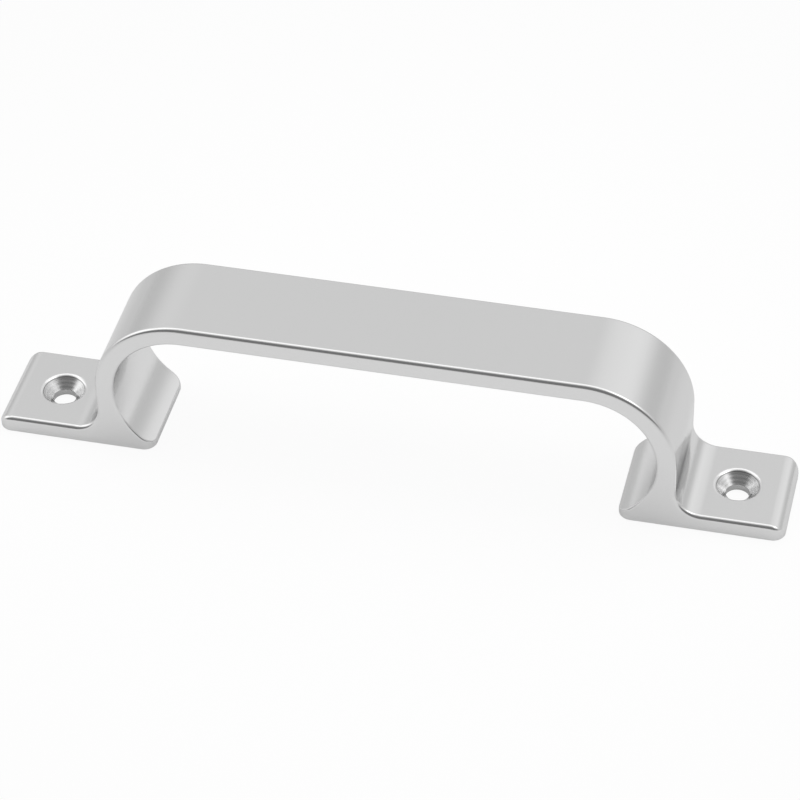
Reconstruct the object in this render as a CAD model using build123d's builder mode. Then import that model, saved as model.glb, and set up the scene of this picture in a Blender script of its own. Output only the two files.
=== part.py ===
"""Door pull handle: one aluminium strip profile with a flat bar, round corners and screw feet."""

import os
from math import sqrt

from build123d import *

# Screw fixing, one countersunk hole in each foot
hole_pitch = 160.0
screw_hole_diameter = 5.4
countersink_diameter = 10.4
countersink_angle = 90.0
countersink_edge_radius = 0.8

# Bar and legs, a strip of even thickness turned round at both corners
overall_height = 38.0
strip_width = 25.0
strip_thickness = 4.5

# Feet, which run outwards from the legs and carry the screws
foot_thickness = 4.15
leg_fillet_radius = 6.0
fillet_to_countersink = 1.2
countersink_to_end_curve = 3.7
end_curve_length = 3.6
end_curve_drop = 2.8
foot_corner_radius = 3.0

# Toes, the short thin tips that run inwards from the legs
toe_thickness = 1.7
toe_reach = 8.6
toe_corner_radius = 3.0

# Softened edges of the cut faces
outer_edge_radius = 1.0
inner_edge_radius = 0.6
base_edge_radius = 0.4

# Places along the handle, measured from its middle
countersink_radius = countersink_diameter / 2
hole_x = hole_pitch / 2
leg_outer_x = hole_x - countersink_radius - fillet_to_countersink - leg_fillet_radius
leg_inner_x = leg_outer_x - strip_thickness
toe_x = leg_inner_x - toe_reach
end_x = hole_x + countersink_radius + countersink_to_end_curve + end_curve_length

# One circle rounds the inside: it touches the bar and the leg and runs out at the toe's tip
underside_z = overall_height - strip_thickness
inner_rise = underside_z - toe_thickness
inner_radius = toe_reach + inner_rise - sqrt(2 * toe_reach * inner_rise)
corner_x = leg_inner_x - inner_radius
corner_z = underside_z - inner_radius


def upright_edges(part, x):
    """Upright edges of the cut faces at a distance x from the middle, on both sides."""
    return part.edges().filter_by(Axis.Z).filter_by(lambda edge: abs(abs(edge.center().X) - x) < 1e-3)


with BuildPart() as pull_handle:
    # Half of the section, from the top of the bar round to its underside
    with BuildSketch(Plane.XZ):
        with BuildLine():
            Line((0, overall_height), (corner_x, overall_height))
            TangentArc((corner_x, overall_height), (leg_outer_x, corner_z), tangent=(1, 0))
            Line((leg_outer_x, corner_z), (leg_outer_x, foot_thickness + leg_fillet_radius))
            TangentArc(
                (leg_outer_x, foot_thickness + leg_fillet_radius),
                (leg_outer_x + leg_fillet_radius, foot_thickness),
                tangent=(0, -1),
            )
            Line((leg_outer_x + leg_fillet_radius, foot_thickness), (end_x - end_curve_length, foot_thickness))
            TangentArc(
                (end_x - end_curve_length, foot_thickness),
                (end_x, foot_thickness - end_curve_drop),
                tangent=(1, 0),
            )
            Polyline((end_x, foot_thickness - end_curve_drop), (end_x, 0), (toe_x, 0), (toe_x, toe_thickness))
            TangentArc(
                (corner_x, underside_z),
                (toe_x, toe_thickness),
                tangent=(1, 0),
            )
            Line((corner_x, underside_z), (0, underside_z))
            mirror(about=Plane.YZ)
        make_face()
    extrude(amount=strip_width / 2, both=True)

    # Rounded corners of the feet and toes, seen from above
    fillet(upright_edges(pull_handle, end_x), foot_corner_radius)
    fillet(upright_edges(pull_handle, toe_x), toe_corner_radius)

    # Each rim is tangent all the way round, so its rounding runs on from the bar's two edges
    bar_faces = pull_handle.faces().filter_by(Axis.Z).sort_by(Axis.Z)
    fillet(bar_faces[-1].edges().filter_by(Axis.X), outer_edge_radius)
    bar_faces = pull_handle.faces().filter_by(Axis.Z).sort_by(Axis.Z)
    fillet(bar_faces[-2].edges().filter_by(Axis.X), inner_edge_radius)
    fillet(pull_handle.edges().group_by(Axis.Z)[0], base_edge_radius)

    # Countersunk screw holes, each with the edge of its mouth rounded
    with Locations((-hole_x, 0, foot_thickness), (hole_x, 0, foot_thickness)):
        CounterSinkHole(screw_hole_diameter / 2, countersink_radius, counter_sink_angle=countersink_angle)
    mouths = pull_handle.edges(Select.LAST).group_by(Axis.Z)[-1]
    fillet(mouths, countersink_edge_radius)

os.makedirs("parts", exist_ok=True)
pull_handle.part.label = "pull_handle"
export_step(pull_handle.part, "parts/pull_handle.step")
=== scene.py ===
import bpy
import numpy as np
from mathutils import Matrix, Vector


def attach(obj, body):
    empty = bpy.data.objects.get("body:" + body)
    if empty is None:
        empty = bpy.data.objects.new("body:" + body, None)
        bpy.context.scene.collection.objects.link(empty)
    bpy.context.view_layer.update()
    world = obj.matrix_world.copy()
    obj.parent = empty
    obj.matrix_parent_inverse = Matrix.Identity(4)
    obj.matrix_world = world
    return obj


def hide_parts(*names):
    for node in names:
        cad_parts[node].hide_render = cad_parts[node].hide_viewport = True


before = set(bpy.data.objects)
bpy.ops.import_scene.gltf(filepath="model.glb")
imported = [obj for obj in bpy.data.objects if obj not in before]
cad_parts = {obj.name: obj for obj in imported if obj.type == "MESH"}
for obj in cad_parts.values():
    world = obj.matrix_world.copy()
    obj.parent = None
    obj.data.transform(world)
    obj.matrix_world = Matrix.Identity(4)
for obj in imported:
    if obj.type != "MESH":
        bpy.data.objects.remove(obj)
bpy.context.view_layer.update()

scene = bpy.context.scene
scene.view_settings.view_transform = "Standard"
print("frame loaded:", ", ".join(sorted(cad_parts)))

# the handle's own sizes in millimetres, as the solid has them but for the two lands, which give way to
# the seats' mouths
handle = {
    "pitch": 160.0,        # between the two screw holes
    "height": 38.0,
    "width": 25.0,
    "bar": 4.5,            # thickness of bar and legs
    "foot": 4.15,          # thickness of the feet
    "legFillet": 6.0,
    "legLand": 1.15,       # flat between the leg's fillet and the screw seat
    "endLand": 3.65,       # flat between the screw seat and the falling end
    "endRun": 3.6,
    "endDrop": 2.8,
    "footCorner": 3.0,
    "toe": 1.7,
    "toeReach": 8.6,
    "toeCorner": 3.0,
    "outerEdge": 1.0,      # rounding of the rims
    "innerEdge": 0.6,
    "baseEdge": 0.4,
}

# the countersunk seats, turned into the feet with a pointed tool; the edge of each mouth is rounded
# a little wider than the solid's, as far as the bright crescents in the photograph reach
seat = {
    "hole": 5.4,
    "mouth": 10.5,
    "slope": 45.0,         # degrees of the cone's wall
    "mouthEdge": 1.12,     # rounded edges
    "neckEdge": 0.15,
    "exitEdge": 0.20,
    "ringPitch": 0.95,     # feed of the tool, which leaves rings
    "ringDepth": 0.003,
    "ringFade": 0.25,      # share of the cone over which the rings come up, at both of its ends
    "frameGap": 0.2,       # flat between the square that frames a seat and the leg's fillet
}

# how finely the surfaces are divided
steps = {
    "rows": 40,            # across the width
    "corner": 10,          # quarter turns of the feet in plan
    "toeCorner": 8,
    "endLand": 3,          # flats of a foot before and after the square round its screw seat
    "legLand": 1,
    "seat": 18,            # along that square
    "heelBase": 10,        # base, toe end and inner curve that face the leg's fillet
    "heelToe": 4,
    "heelCurve": 12,
    "leg": 4,
    "bend": 40,
    "bar": 6,
    "outerRim": 8,
    "innerRim": 6,
    "baseRim": 4,
    "side": 6,
    "seatRing": 5,         # from the square to the seat's mouth
    "mouth": 8,            # down the seat: its three small arcs, each ring and the bore
    "neck": 4,
    "exit": 5,
    "ring": 14,
    "bore": 3,
}

millimetre = 0.001  # in metres, the unit of the scene
otherEnd = np.array([-1.0, 1.0, 1.0])
otherSide = np.array([1.0, -1.0, 1.0])

# places along the handle, measured from its middle
holeX = handle["pitch"] / 2
mouthRadius = seat["mouth"] / 2
halfWidth = handle["width"] / 2
filletX = holeX - mouthRadius - handle["legLand"]
legOuterX = filletX - handle["legFillet"]
legInnerX = legOuterX - handle["bar"]
toeX = legInnerX - handle["toeReach"]
fallX = holeX + mouthRadius + handle["endLand"]
endX = fallX + handle["endRun"]
underZ = handle["height"] - handle["bar"]
innerRise = underZ - handle["toe"]
innerRadius = handle["toeReach"] + innerRise - np.sqrt(2 * handle["toeReach"] * innerRise)
bendX = legInnerX - innerRadius
bendZ = underZ - innerRadius
outerRadius = legOuterX - bendX
squareHalf = mouthRadius + handle["legLand"] - seat["frameGap"]
footStart = endX - handle["footCorner"]
toeStart = toeX + handle["toeCorner"]


# even steps from start to end in the section, all with one normal
def lineRun(start, end, count, normal):
    t = np.linspace(0.0, 1.0, count + 1)[:, None]
    points = (1 - t) * np.array(start) + t * np.array(end)
    return points, np.tile(np.array(normal, float), (count + 1, 1))


# points at a radius round a centre; the normals leave it (side 1) or face it (side -1)
def arcRun(centre, radius, angles, side):
    ray = np.stack([np.cos(angles), np.sin(angles)], 1)
    return np.array(centre) + radius * ray, side * ray


# runs one after the other, each joint kept once
def joinRuns(*runs):
    points = np.concatenate([runs[0][0]] + [run[0][1:] for run in runs[1:]])
    normals = np.concatenate([runs[0][1]] + [run[1][1:] for run in runs[1:]])
    return points, normals


# a run from one end to the middle, carried on to the other end with x turned over
def bothEnds(values, flip=(-1.0, 1.0)):
    return np.concatenate([values, values[-2::-1] * np.array(flip)])


# edge of a grid of points: along its front, up its last column, back, and down its first column
def edgeLoop(grid):
    return np.concatenate([grid[:, 0], grid[-1, 1:-1], grid[::-1, -1], grid[0, -2:0:-1]])


# points between two lines of points, in even steps
def between(first, last, count):
    t = np.linspace(0.0, 1.0, count + 1)[None, :, None]
    return (1 - t) * first[:, None] + t * last[:, None]


# a ball rolled along an edge: its centre lies one radius under the face, and the arc turns from the
# face's normal to the wall's normal on the great circle through both
def rolledEdge(contact, faceNormal, wallNormal, radius, count):
    centre = contact - radius * faceNormal
    angle = np.arccos(np.clip(np.sum(faceNormal * wallNormal, -1), -1, 1))[:, None, None]
    t = np.linspace(0.0, 1.0, count + 1)[None, :, None]
    turn = np.sin((1 - t) * angle) * faceNormal[:, None] + np.sin(t * angle) * wallNormal[:, None]
    turn = turn / np.sin(angle)
    return centre[:, None] + radius * turn, turn


# a section carried across the width: each point of it becomes a row from -reach to reach
def acrossWidth(points, normals, reach):
    share = np.linspace(-1.0, 1.0, steps["rows"] + 1)
    flat = np.ones_like(share)
    grid = np.stack([points[:, :1] * flat, reach[:, None] * share, points[:, 1:] * flat], -1)
    facing = np.stack([normals[:, :1] * flat, 0 * reach[:, None] * share, normals[:, 1:] * flat], -1)
    return grid, facing


# normals of the upright walls round a strip: turn is the angle of each column's wall from the front
# towards the end, and both end columns face outwards along x
def wallNormals(turn, endSigns):
    grid = np.zeros((len(turn), steps["rows"] + 1, 3))
    grid[:, 0, 0] = grid[:, -1, 0] = np.sin(turn)
    grid[:, 0, 1] = -np.cos(turn)
    grid[:, -1, 1] = np.cos(turn)
    grid[0] = (endSigns[0], 0, 0)
    grid[-1] = (endSigns[1], 0, 0)
    return grid


patches = []


# every patch keeps its points, its outward normals and the number of its metal, 0 for the satin skin
# and 1 for what is turned; a closed one meets itself
def addPatch(points, normals, closed=False, metal=0):
    normals = np.broadcast_to(normals, points.shape)
    if closed:
        points = np.concatenate([points, points[:1]])
        normals = np.concatenate([normals, normals[:1]])
    patches.append((points, normals, metal))


# the same patch at the other end, with x turned over
def addBothEnds(points, normals, closed=False, metal=0):
    addPatch(points, normals, closed, metal)
    addPatch(points * otherEnd, normals * otherEnd, closed, metal)


# outer face from the falling end to the middle of the bar: arcs and lines in the section, how far each
# column reaches across, and the turn of its wall; a foot's corner is a quarter circle less the rim
def outerStrip():
    edge = handle["outerEdge"]
    fallRadius = (handle["endRun"] ** 2 + handle["endDrop"] ** 2) / (2 * handle["endDrop"])
    fallCentre = (fallX, handle["foot"] - fallRadius)
    phi = np.radians(np.linspace(90, 0, steps["corner"] + 1))
    ballX = footStart + (handle["footCorner"] - edge) * np.sin(phi)
    slope = np.append(np.arcsin((ballX - fallX) / (fallRadius - edge)), 0.0)
    up, foot = (0, 1), handle["foot"]
    filletCentre = (filletX, foot + handle["legFillet"])
    heel = steps["heelBase"] + steps["heelToe"] + steps["heelCurve"]
    half = joinRuns(
        arcRun(fallCentre, fallRadius, np.pi / 2 - slope, 1),
        lineRun((fallX, foot), (holeX + squareHalf, foot), steps["endLand"], up),
        lineRun((holeX + squareHalf, foot), (holeX - squareHalf, foot), steps["seat"], up),
        lineRun((holeX - squareHalf, foot), (filletX, foot), steps["legLand"], up),
        arcRun(filletCentre, handle["legFillet"], np.radians(np.linspace(-90, -180, heel + 1)), -1),
        lineRun((legOuterX, foot + handle["legFillet"]), (legOuterX, bendZ), steps["leg"], (1, 0)),
        arcRun((bendX, bendZ), outerRadius, np.radians(np.linspace(0, 90, steps["bend"] + 1)), 1),
        lineRun((bendX, handle["height"]), (0, handle["height"]), steps["bar"], up),
    )
    reach = np.full(len(half[0]), halfWidth - edge)
    reach[:len(phi)] = halfWidth - handle["footCorner"] + (handle["footCorner"] - edge) * np.cos(phi)
    turn = np.zeros(len(half[0]))
    turn[:len(phi)] = phi
    return half, reach, turn


# inner face in the same way: the toe's corner, one circle from its tip to the bar, and the underside
def innerStrip():
    edge = handle["innerEdge"]
    phi = np.radians(np.linspace(90, 0, steps["toeCorner"] + 1))
    ballX = toeStart - (handle["toeCorner"] - edge) * np.sin(phi)
    tip = -np.arccos((ballX - bendX) / (innerRadius + edge))
    level = np.arcsin((handle["foot"] + handle["legFillet"] - bendZ) / (innerRadius + edge))
    angles = np.concatenate([
        tip,
        np.linspace(tip[-1], level, steps["heelCurve"] + 1)[1:],
        np.linspace(level, 0, steps["leg"] + 1)[1:],
        np.linspace(0, np.pi / 2, steps["bend"] + 1)[1:],
    ])
    half = joinRuns(
        arcRun((bendX, bendZ), innerRadius, angles, -1),
        lineRun((bendX, underZ), (0, underZ), steps["bar"], (0, -1)),
    )
    reach = np.full(len(half[0]), halfWidth - edge)
    reach[:len(phi)] = halfWidth - handle["toeCorner"] + (handle["toeCorner"] - edge) * np.cos(phi)
    turn = np.zeros(len(half[0]))
    turn[:len(phi)] = -phi
    return half, reach, turn


# base of one foot, from its end to the toe, with a quarter circle less the rim at both corners; its
# columns lie under those of the outer face
def basePad(outerX):
    edge = handle["baseEdge"]
    phi = np.radians(np.linspace(90, 0, steps["corner"] + 1))
    toePhi = np.radians(np.linspace(0, 90, steps["toeCorner"] + 1))
    x = np.concatenate([
        footStart + (handle["footCorner"] - edge) * np.sin(phi),
        outerX,
        np.linspace(filletX, toeStart, steps["heelBase"] + 1)[1:],
        (toeStart - (handle["toeCorner"] - edge) * np.sin(toePhi))[1:],
    ])
    points = np.stack([x, np.zeros_like(x)], 1)
    normals = np.tile((0.0, -1.0), (len(x), 1))
    reach = np.full(len(x), halfWidth - edge)
    reach[:len(phi)] = halfWidth - handle["footCorner"] + (handle["footCorner"] - edge) * np.cos(phi)
    reach[-len(toePhi):] = halfWidth - handle["toeCorner"] + (handle["toeCorner"] - edge) * np.cos(toePhi)
    turn = np.zeros(len(x))
    turn[:len(phi)] = phi
    turn[-len(toePhi):] = -toePhi
    return points, normals, reach, turn


# section of a screw seat in radius and height: a cone and a bore between small arcs, with the rings
# cut into the cone along its normal, as deep as one minus the cosine of the way down it
def seatSection():
    slope = np.radians(seat["slope"])
    holeRadius = seat["hole"] / 2
    neckZ = handle["foot"] - (mouthRadius - holeRadius) * np.tan(slope)
    corners = np.array([(mouthRadius, handle["foot"]), (holeRadius, neckZ), (holeRadius, 0.0)])
    facing = np.pi / 2 + np.array([0.0, slope, np.pi / 2, np.pi])
    radii = np.array([seat["mouthEdge"], seat["neckEdge"], seat["exitEdge"]])
    pull = radii / np.cos(np.diff(facing) / 2)
    middle = (facing[:-1] + facing[1:]) / 2
    centres = corners - pull[:, None] * np.stack([np.cos(middle), np.sin(middle)], 1)
    counts = (steps["mouth"], steps["neck"], steps["exit"])
    arcs = [
        arcRun(centres[k], radii[k], np.linspace(facing[k], facing[k + 1], counts[k] + 1), 1)
        for k in range(3)
    ]
    length = np.linalg.norm(arcs[1][0][0] - arcs[0][0][-1])
    rings = round(length / seat["ringPitch"])
    cone = lineRun(arcs[0][0][-1], arcs[1][0][0], rings * steps["ring"], arcs[0][1][-1])
    t = np.linspace(0.0, 1.0, len(cone[0]))
    wave = 2 * np.pi * rings * t
    fade = np.clip(np.minimum(t, 1 - t) / seat["ringFade"], 0, 1)
    groove = -seat["ringDepth"] * fade * (1 - np.cos(wave)) / 2
    points, normals = joinRuns(
        arcs[0],
        (cone[0] + groove[:, None] * cone[1], cone[1]),
        arcs[1],
        lineRun(arcs[1][0][-1], arcs[2][0][0], steps["bore"], (-1, 0)),
        arcs[2],
    )
    along = np.gradient(points, axis=0)
    ringNormals = np.stack([along[:, 1], -along[:, 0]], 1)
    ringNormals /= np.linalg.norm(ringNormals, axis=1)[:, None]
    onCone = slice(len(arcs[0][0]), len(arcs[0][0]) + len(cone[0]) - 2)
    normals[onCone] = ringNormals[onCone]
    return points, normals


# angles of the points round a screw seat: even steps between the corners of the frame round it, as many
# to each side as the frame's own side has
def seatAngles():
    corner = np.arctan2(halfWidth - handle["outerEdge"], squareHalf)
    turns = np.array([-corner, corner - np.pi, -corner - np.pi, corner - 2 * np.pi, -corner - 2 * np.pi])
    counts = (steps["seat"], steps["rows"], steps["seat"], steps["rows"])
    sides = [np.linspace(turns[k], turns[k + 1], counts[k] + 1)[:-1] for k in range(4)]
    return np.concatenate(sides)


# the whole handle as patches that share their edges
def buildHandle():
    (outer, outerNormal), outerReach, outerTurn = outerStrip()
    (inner, innerNormal), innerReach, innerTurn = innerStrip()
    cornerColumns = steps["corner"] + 1
    squareFirst = cornerColumns + steps["endLand"]
    squareLast = squareFirst + steps["seat"]
    filletColumn = squareLast + steps["legLand"]
    outerX = outer[cornerColumns:filletColumn + 1, 0]
    base, baseNormal, baseReach, baseTurn = basePad(outerX)

    # outer face, left open at the squares round the seats
    outerGrid, outerFacing = acrossWidth(
        bothEnds(outer), bothEnds(outerNormal), np.concatenate([outerReach, outerReach[-2::-1]])
    )
    columns = len(outerGrid)
    addPatch(outerGrid[:squareFirst + 1], outerFacing[:squareFirst + 1])
    addPatch(outerGrid[squareLast:columns - squareLast], outerFacing[squareLast:columns - squareLast])
    addPatch(outerGrid[columns - 1 - squareFirst:], outerFacing[columns - 1 - squareFirst:])

    # its rim, rolled all the way round
    outerTurns = np.concatenate([outerTurn, -outerTurn[-2::-1]])
    outerWalls = edgeLoop(wallNormals(outerTurns, (1, -1)))
    rim, rimNormal = rolledEdge(
        edgeLoop(outerGrid), edgeLoop(outerFacing), outerWalls, handle["outerEdge"], steps["outerRim"]
    )
    addPatch(rim, rimNormal, True)
    outerWall = rim[:, -1]

    # inner face and its rim
    innerGrid, innerFacing = acrossWidth(
        bothEnds(inner), bothEnds(innerNormal), np.concatenate([innerReach, innerReach[-2::-1]])
    )
    addPatch(innerGrid, innerFacing)
    innerTurns = np.concatenate([innerTurn, -innerTurn[-2::-1]])
    innerRim, innerRimNormal = rolledEdge(
        edgeLoop(innerGrid), edgeLoop(innerFacing), edgeLoop(wallNormals(innerTurns, (-1, 1))),
        handle["innerEdge"], steps["innerRim"],
    )
    addPatch(innerRim, innerRimNormal, True)
    innerWall = innerRim[:, -1]

    # base of each foot and its rim
    baseGrid, baseFacing = acrossWidth(base, baseNormal, baseReach)
    addBothEnds(baseGrid[:squareFirst + 1], baseFacing[:squareFirst + 1])
    addBothEnds(baseGrid[squareLast:], baseFacing[squareLast:])
    baseWalls = edgeLoop(wallNormals(baseTurn, (1, -1)))
    baseRim, baseRimNormal = rolledEdge(
        edgeLoop(baseGrid), edgeLoop(baseFacing), baseWalls, handle["baseEdge"], steps["baseRim"]
    )
    addBothEnds(baseRim, baseRimNormal, True)
    baseWall = baseRim[:, -1]

    # toe ends, between the base's rim and the inner rim
    toeColumns = steps["toeCorner"] + 1
    baseColumns = len(base)
    rowsInside = steps["rows"] - 1
    low = baseWall[baseColumns - toeColumns:baseColumns + rowsInside + toeColumns]
    lowNormal = baseWalls[baseColumns - toeColumns:baseColumns + rowsInside + toeColumns]
    innerColumns = len(innerGrid)
    front = innerWall[:toeColumns][::-1]
    end = innerWall[2 * innerColumns + rowsInside:][::-1]
    back = innerWall[2 * innerColumns + rowsInside - toeColumns:2 * innerColumns + rowsInside][::-1]
    high = np.concatenate([front, end, back])
    toeWall = between(low, high, steps["heelToe"])
    addBothEnds(toeWall, lowNormal[:, None])

    # cut faces and foot ends: straight lines from the outer rim to the base, the toe and the inner rim
    toeRise = toeWall[0]
    heelEnd = cornerColumns + len(outerX) + steps["heelBase"]
    innerFront = innerWall[steps["toeCorner"] + 1:innerColumns // 2 + 1]
    frontHalf = np.concatenate([baseWall[:heelEnd], toeRise[1:], innerFront])
    frontLine = bothEnds(frontHalf, otherEnd)
    backLine = frontLine * otherSide
    rightEnd = baseWall[-rowsInside:]
    leftEnd = rightEnd[::-1] * otherEnd
    opposite = np.concatenate([frontLine, leftEnd, backLine[::-1], rightEnd])
    addPatch(between(outerWall, opposite, steps["side"]), outerWalls[:, None], True)

    # screw seats, with flat frames above and below
    angles = seatAngles()
    spin = np.stack([np.cos(angles), np.sin(angles)], 1)
    section, sectionNormal = seatSection()
    bore = np.stack([
        holeX + section[None, :, 0] * spin[:, :1],
        section[None, :, 0] * spin[:, 1:],
        section[None, :, 1] + 0 * spin[:, :1],
    ], -1)
    boreNormal = np.stack([
        sectionNormal[None, :, 0] * spin[:, :1],
        sectionNormal[None, :, 0] * spin[:, 1:],
        sectionNormal[None, :, 1] + 0 * spin[:, :1],
    ], -1)
    mouth = slice(steps["mouth"] + 1)
    cut = slice(steps["mouth"], None)
    addBothEnds(bore[:, mouth], boreNormal[:, mouth], True)
    addBothEnds(bore[:, cut], boreNormal[:, cut], True, metal=1)
    square = slice(squareFirst, squareLast + 1)
    up = np.array([[[0.0, 0.0, 1.0]]])
    addBothEnds(between(edgeLoop(outerGrid[square]), bore[:, 0], steps["seatRing"]), up, True)
    addBothEnds(between(edgeLoop(baseGrid[square]), bore[:, -1], steps["seatRing"]), -up, True)


# four corners of every cell of a grid, turned round where the cells face against their normals
def gridFaces(points, normals, first):
    rows, cols = points.shape[:2]
    index = first + np.arange(rows * cols).reshape(rows, cols)
    faces = np.stack([index[:-1, :-1], index[1:, :-1], index[1:, 1:], index[:-1, 1:]], -1).reshape(-1, 4)
    across = np.cross(points[1:, 1:] - points[:-1, :-1], points[:-1, 1:] - points[1:, :-1])
    facing = np.sum(across * normals[:-1, :-1], -1).sum()
    return faces if facing > 0 else faces[:, ::-1]


# points in one cell of a fine lattice are one point; the shift keeps round sizes off the cells' edges
lattice = {"cells": 2000, "shift": 0.317}  # cells in a millimetre


# one closed mesh from all patches: points that fall together become one
def meshFromPatches(name):
    points, normals, faces, metals, count = [], [], [], [], 0
    for patchPoints, patchNormals, metal in patches:
        faces.append(gridFaces(patchPoints, patchNormals, count))
        metals.append(np.full(len(faces[-1]), metal))
        points.append(patchPoints.reshape(-1, 3))
        normals.append(patchNormals.reshape(-1, 3))
        count += len(points[-1])
    points, normals, faces = np.concatenate(points), np.concatenate(normals), np.concatenate(faces)
    keys = np.round(points * lattice["cells"] + lattice["shift"]).astype(np.int64)
    _, kept, merged = np.unique(keys, axis=0, return_index=True, return_inverse=True)
    faces = merged.reshape(-1)[faces]
    mesh = bpy.data.meshes.new(name)
    mesh.from_pydata((points[kept] * millimetre).tolist(), [], faces.tolist())
    mesh.polygons.foreach_set("use_smooth", np.ones(len(faces), bool))
    mesh.polygons.foreach_set("material_index", np.concatenate(metals).astype(np.int32))
    mesh.update()
    mesh.normals_split_custom_set_from_vertices(normals[kept].tolist())
    return mesh


buildHandle()
handleMesh = meshFromPatches("aluminiumHandle")
handlePiece = bpy.data.objects.new("aluminiumHandle", handleMesh)
scene.collection.objects.link(handlePiece)
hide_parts("pull_handle")
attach(handlePiece, "root")
print("handle:", len(handleMesh.vertices), "points,", len(handleMesh.polygons), "faces")

# natural anodised aluminium: an even satin, with its grain drawn out across the width, as the profile
# was drawn
satin = {
    "colour": (0.72, 0.72, 0.72),
    "edge": (0.84, 0.84, 0.84),        # keeps the metal from going white where it is seen flat along
    "roughness": (0.17, 0.23),
    "grain": (2600.0, 90.0, 2600.0),   # grains per metre along x, y and z
    "grainDetail": 3.0,
    "grainDepth": 0.000004,
    "grainStrength": 0.25,
}


# a noise, stretched along y, spreads the roughness over its range and is the height of a shallow bump
def satinAluminium():
    material = bpy.data.materials.new("satinAluminium")
    material.use_nodes = True
    nodes, links = material.node_tree.nodes, material.node_tree.links
    shader = nodes["Principled BSDF"]
    shader.inputs["Base Color"].default_value = (*satin["colour"], 1)
    shader.inputs["Specular Tint"].default_value = (*satin["edge"], 1)
    shader.inputs["Metallic"].default_value = 1.0
    place = nodes.new("ShaderNodeTexCoord")
    drawn = nodes.new("ShaderNodeMapping")
    drawn.inputs["Scale"].default_value = satin["grain"]
    links.new(place.outputs["Object"], drawn.inputs["Vector"])
    grain = nodes.new("ShaderNodeTexNoise")
    grain.inputs["Scale"].default_value = 1.0
    grain.inputs["Detail"].default_value = satin["grainDetail"]
    links.new(drawn.outputs["Vector"], grain.inputs["Vector"])
    rough = nodes.new("ShaderNodeMapRange")
    rough.inputs["To Min"].default_value, rough.inputs["To Max"].default_value = satin["roughness"]
    links.new(grain.outputs[0], rough.inputs["Value"])
    links.new(rough.outputs["Result"], shader.inputs["Roughness"])
    bump = nodes.new("ShaderNodeBump")
    bump.inputs["Strength"].default_value = satin["grainStrength"]
    bump.inputs["Distance"].default_value = satin["grainDepth"]
    links.new(grain.outputs[0], bump.inputs["Height"])
    links.new(bump.outputs["Normal"], shader.inputs["Normal"])
    return material


# the seats are cut after the finish: bright cones with the tool's rings, and a bore with painted shade
# under them
turned = {
    "cone": (0.65, 0.74),      # dark and light of its rings
    # painted shade: the bore's darker grey stands in for the shade inside the hole
    "bore": 0.46,
    "neckBlend": 0.1,          # height to either side of the neck over which cone and bore mix
    "paintedShadowLine": 0.42,              # share of the cone's grey left in the painted shadow line under the mouth
    "paintedShadowFade": (0.21, 0.09),  # that line fades in over this height under the rounded mouth
    "roughness": (0.20, 0.29),
    "ringPitch": 0.00067,      # in metres, across the cone
}
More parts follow.
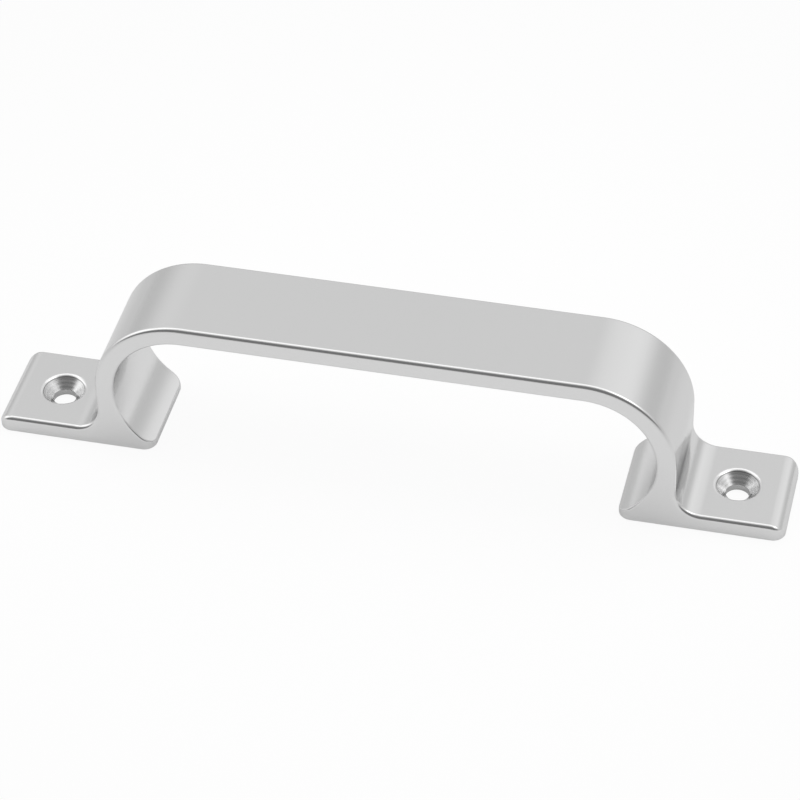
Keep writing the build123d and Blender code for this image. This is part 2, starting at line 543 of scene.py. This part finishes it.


# the rings are a sine of the distance from the hole's own line, spread over the range of roughness and
# of brightness; the height then gives the bore's painted shade, the cone, or the painted shadow line
def turnedAluminium():
    material = bpy.data.materials.new("turnedAluminium")
    material.use_nodes = True
    nodes, links = material.node_tree.nodes, material.node_tree.links
    shader = nodes["Principled BSDF"]
    shader.inputs["Metallic"].default_value = 1.0
    place = nodes.new("ShaderNodeTexCoord")
    split = nodes.new("ShaderNodeSeparateXYZ")
    links.new(place.outputs["Object"], split.inputs[0])
    # distance from the hole's own line
    side = nodes.new("ShaderNodeMath")
    side.operation = "ABSOLUTE"
    links.new(split.outputs["X"], side.inputs[0])
    off = nodes.new("ShaderNodeMath")
    off.operation = "SUBTRACT"
    off.inputs[1].default_value = holeX * millimetre
    links.new(side.outputs[0], off.inputs[0])
    flat = nodes.new("ShaderNodeCombineXYZ")
    links.new(off.outputs[0], flat.inputs["X"])
    links.new(split.outputs["Y"], flat.inputs["Y"])
    radius = nodes.new("ShaderNodeVectorMath")
    radius.operation = "LENGTH"
    links.new(flat.outputs[0], radius.inputs[0])
    turns = nodes.new("ShaderNodeMath")
    turns.operation = "MULTIPLY"
    turns.inputs[1].default_value = 2 * np.pi / turned["ringPitch"]
    links.new(radius.outputs["Value"], turns.inputs[0])
    rings = nodes.new("ShaderNodeMath")
    rings.operation = "SINE"
    links.new(turns.outputs[0], rings.inputs[0])
    rough = nodes.new("ShaderNodeMapRange")
    rough.inputs["From Min"].default_value = -1.0
    rough.inputs["To Min"].default_value, rough.inputs["To Max"].default_value = turned["roughness"]
    links.new(rings.outputs[0], rough.inputs["Value"])
    links.new(rough.outputs["Result"], shader.inputs["Roughness"])
    # the bore's darker grey, painted shade of the hole's inside, gives way to the cone's at the neck
    slope = np.radians(seat["slope"])
    neckZ = handle["foot"] - (mouthRadius - seat["hole"] / 2) * np.tan(slope)
    neck = nodes.new("ShaderNodeMapRange")
    neck.inputs["From Min"].default_value = (neckZ - turned["neckBlend"]) * millimetre
    neck.inputs["From Max"].default_value = (neckZ + turned["neckBlend"]) * millimetre
    neck.inputs["To Min"].default_value = turned["bore"]
    bright = nodes.new("ShaderNodeMapRange")
    bright.inputs["From Min"].default_value = -1.0
    bright.inputs["To Min"].default_value, bright.inputs["To Max"].default_value = turned["cone"]
    links.new(rings.outputs[0], bright.inputs["Value"])
    links.new(bright.outputs["Result"], neck.inputs["To Max"])
    links.new(split.outputs["Z"], neck.inputs["Value"])
    # a painted shadow line at the top of the cone: a darker ring for the shade under the rounded mouth
    coneZ = handle["foot"] - seat["mouthEdge"] * np.tan(slope / 2) * np.sin(slope)
    paintedShadowLine = nodes.new("ShaderNodeMapRange")
    paintedShadowLine.inputs["From Min"].default_value = (coneZ - turned["paintedShadowFade"][0]) * millimetre
    paintedShadowLine.inputs["From Max"].default_value = (coneZ - turned["paintedShadowFade"][1]) * millimetre
    paintedShadowLine.inputs["To Min"].default_value = 1.0
    paintedShadowLine.inputs["To Max"].default_value = turned["paintedShadowLine"]
    links.new(split.outputs["Z"], paintedShadowLine.inputs["Value"])
    ringsAndPaintedShade = nodes.new("ShaderNodeMath")
    ringsAndPaintedShade.operation = "MULTIPLY"
    links.new(neck.outputs["Result"], ringsAndPaintedShade.inputs[0])
    links.new(paintedShadowLine.outputs["Result"], ringsAndPaintedShade.inputs[1])
    links.new(ringsAndPaintedShade.outputs[0], shader.inputs["Base Color"])
    return material


handleMesh.materials.append(satinAluminium())
handleMesh.materials.append(turnedAluminium())
print("metals:", ", ".join(handleMesh.materials.keys()))

# studio: a pale floor, and light that comes from above and from all sides but the camera's
studio = {
    "floor": (0.95, 0.72),         # grey near the handle and away from it: a pale floor, darker away from it as painted shade for light that falls off
    "paintedFalloffRange": (0.08, 0.20),     # where that changes, in metres from the handle's middle
    "floorHalf": 30.0,
    "seenWhite": 0.93,             # share that is plain white to the eye; the rest keeps the shadow
    "mirroredWhite": 0.37,         # the same for what the metal shows of it
    "lampPlace": (0.12, 0.205, 0.60),
    "lampSize": (1.20, 0.43),
    "lampPower": 0.94,
}


# a matt floor, whose grey darkens with the distance from the middle, painted shade for light that falls
# off away from the handle, mixed with plain white by the share that the eye or the metal gets of it
def paleFloor():
    half = studio["floorHalf"]
    mesh = bpy.data.meshes.new("floor")
    corners = [(-half, -half, 0), (half, -half, 0), (half, half, 0), (-half, half, 0)]
    mesh.from_pydata(corners, [], [(0, 1, 2, 3)])
    floor = bpy.data.objects.new("floor", mesh)
    scene.collection.objects.link(floor)
    material = bpy.data.materials.new("paleFloor")
    material.use_nodes = True
    nodes, links = material.node_tree.nodes, material.node_tree.links
    nodes.remove(nodes["Principled BSDF"])
    matt = nodes.new("ShaderNodeBsdfDiffuse")
    place = nodes.new("ShaderNodeTexCoord")
    away = nodes.new("ShaderNodeVectorMath")
    away.operation = "LENGTH"
    links.new(place.outputs["Object"], away.inputs[0])
    # painted shade: the floor's grey darkens away from the handle, for light that falls off there
    paintedFalloff = nodes.new("ShaderNodeMapRange")
    paintedFalloff.inputs["From Min"].default_value, paintedFalloff.inputs["From Max"].default_value = studio["paintedFalloffRange"]
    paintedFalloff.inputs["To Min"].default_value, paintedFalloff.inputs["To Max"].default_value = studio["floor"]
    links.new(away.outputs["Value"], paintedFalloff.inputs["Value"])
    links.new(paintedFalloff.outputs["Result"], matt.inputs["Color"])
    white = nodes.new("ShaderNodeEmission")
    white.inputs["Strength"].default_value = 1.0
    path = nodes.new("ShaderNodeLightPath")
    seen = nodes.new("ShaderNodeMath")
    seen.operation = "MULTIPLY"
    seen.inputs[1].default_value = studio["seenWhite"]
    links.new(path.outputs["Is Camera Ray"], seen.inputs[0])
    through = nodes.new("ShaderNodeMath")
    through.operation = "MAXIMUM"
    links.new(path.outputs["Is Glossy Ray"], through.inputs[0])
    links.new(path.outputs["Is Transmission Ray"], through.inputs[1])
    share = nodes.new("ShaderNodeMath")
    share.operation = "MULTIPLY_ADD"
    share.inputs[1].default_value = studio["mirroredWhite"]
    links.new(through.outputs[0], share.inputs[0])
    links.new(seen.outputs[0], share.inputs[2])
    mix = nodes.new("ShaderNodeMixShader")
    links.new(share.outputs[0], mix.inputs["Fac"])
    links.new(matt.outputs[0], mix.inputs[1])
    links.new(white.outputs[0], mix.inputs[2])
    links.new(mix.outputs[0], nodes["Material Output"].inputs["Surface"])
    mesh.materials.append(material)


# one level rectangle of light above the handle and a little behind it
def overheadLamp():
    data = bpy.data.lights.new("overheadLamp", "AREA")
    data.shape = "RECTANGLE"
    data.size, data.size_y = studio["lampSize"]
    data.energy = studio["lampPower"]
    lamp = bpy.data.objects.new("overheadLamp", data)
    lamp.location = studio["lampPlace"]
    scene.collection.objects.link(lamp)


# what the metal mirrors beyond the floor and the lamp
sky = {
    "strength": 0.794,
    # sine of the height above the horizon, and the light there
    "back": (
        (0.0, 0.86), (0.14, 0.84), (0.22, 0.865), (0.33, 0.97), (0.41, 1.06), (0.50, 1.095), (0.59, 1.055),
        (0.63, 1.0), (0.66, 0.975), (1.0, 1.0),
    ),
    "front": ((0.0, 0.32), (0.12, 0.27), (0.90, 0.27), (1.0, 0.32)),
    "turn": (-0.55, -0.15),    # where the front gives way to the back, along y
    # lighter places behind the right end, beyond the left end and high on both sides: where, how much,
    # and from which cosine to which it comes up
    "glows": (
        ((0.309, 0.764, 0.566), 0.18, (0.905, 0.98)),
        ((-0.880, 0.060, 0.471), 0.75, (0.84, 0.975)),
        ((0.615, -0.020, 0.788), 1.10, (0.93, 0.965)),
        ((-0.580, -0.100, 0.808), 0.40, (0.93, 0.965)),
    ),
}


# back and front have their own light by height and give way to each other along y; each glow is added
# by the cosine between its direction and the ray's
def studioSky():
    world = bpy.data.worlds.new("studioSky")
    scene.world = world
    world.use_nodes = True
    nodes, links = world.node_tree.nodes, world.node_tree.links
    place = nodes.new("ShaderNodeTexCoord")
    split = nodes.new("ShaderNodeSeparateXYZ")
    links.new(place.outputs["Generated"], split.inputs[0])
    ramps = {}
    for side in ("back", "front"):
        ramp = nodes.new("ShaderNodeValToRGB")
        elements = ramp.color_ramp.elements
        for k, (height, value) in enumerate(sky[side]):
            element = elements[k] if k < 2 else elements.new(height)
            element.position = height
            element.color = (value, value, value, 1)
        links.new(split.outputs["Z"], ramp.inputs["Fac"])
        ramps[side] = ramp
    turn = nodes.new("ShaderNodeMapRange")
    turn.interpolation_type = "SMOOTHSTEP"
    turn.inputs["From Min"].default_value, turn.inputs["From Max"].default_value = sky["turn"]
    links.new(split.outputs["Y"], turn.inputs["Value"])
    mix = nodes.new("ShaderNodeMix")
    mix.data_type = "RGBA"
    links.new(turn.outputs["Result"], mix.inputs["Factor"])
    links.new(ramps["front"].outputs["Color"], mix.inputs["A"])
    links.new(ramps["back"].outputs["Color"], mix.inputs["B"])
    light = mix.outputs["Result"]
    for direction, extra, edge in sky["glows"]:
        toward = nodes.new("ShaderNodeVectorMath")
        toward.operation = "DOT_PRODUCT"
        toward.inputs[1].default_value = direction
        links.new(place.outputs["Generated"], toward.inputs[0])
        glow = nodes.new("ShaderNodeMapRange")
        glow.inputs["From Min"].default_value, glow.inputs["From Max"].default_value = edge
        glow.inputs["To Max"].default_value = extra
        links.new(toward.outputs["Value"], glow.inputs["Value"])
        both = nodes.new("ShaderNodeMix")
        both.data_type = "RGBA"
        both.blend_type = "ADD"
        both.inputs["Factor"].default_value = 1.0
        links.new(light, both.inputs["A"])
        links.new(glow.outputs["Result"], both.inputs["B"])
        light = both.outputs["Result"]
    links.new(light, nodes["Background"].inputs["Color"])
    nodes["Background"].inputs["Strength"].default_value = sky["strength"]


paleFloor()
overheadLamp()
studioSky()
print("studio: floor, lamp, sky with", len(sky["glows"]), "glows")

# the photograph's view: angles in degrees, lengths in millimetres
view = {
    "azimuth": 14.50,
    "elevation": 41.07,
    "roll": -1.68,
    "distance": 743.8,
    "target": (5.49, -15.16, 29.05),
    "focal": 3344.8,        # in pixels of an image 800 across
    "image": 800,
    "sensor": 36.0,
    "clip": (0.01, 100.0),  # in metres
}


# the camera looks at the target from its azimuth and elevation, then turns about its own line of sight
def photoCamera():
    azimuth, elevation, roll = np.radians([view["azimuth"], view["elevation"], view["roll"]])
    back = np.array([
        np.sin(azimuth) * np.cos(elevation), -np.cos(azimuth) * np.cos(elevation), np.sin(elevation)
    ])
    right = np.cross(-back, (0, 0, 1))
    right /= np.linalg.norm(right)
    up = np.cross(right, -back)
    rolledRight = np.cos(roll) * right + np.sin(roll) * up
    rolledUp = np.cos(roll) * up - np.sin(roll) * right
    place = (np.array(view["target"]) + view["distance"] * back) * millimetre
    data = bpy.data.cameras.new("photoCamera")
    data.sensor_width = view["sensor"]
    data.lens = view["focal"] * view["sensor"] / view["image"]
    data.clip_start, data.clip_end = view["clip"]
    camera = bpy.data.objects.new("photoCamera", data)
    facing = Matrix((rolledRight, rolledUp, back)).transposed().to_4x4()
    camera.matrix_world = Matrix.Translation(Vector(place)) @ facing
    scene.collection.objects.link(camera)
    scene.camera = camera


photoCamera()
print("camera: lens", round(scene.camera.data.lens, 1), "mm")
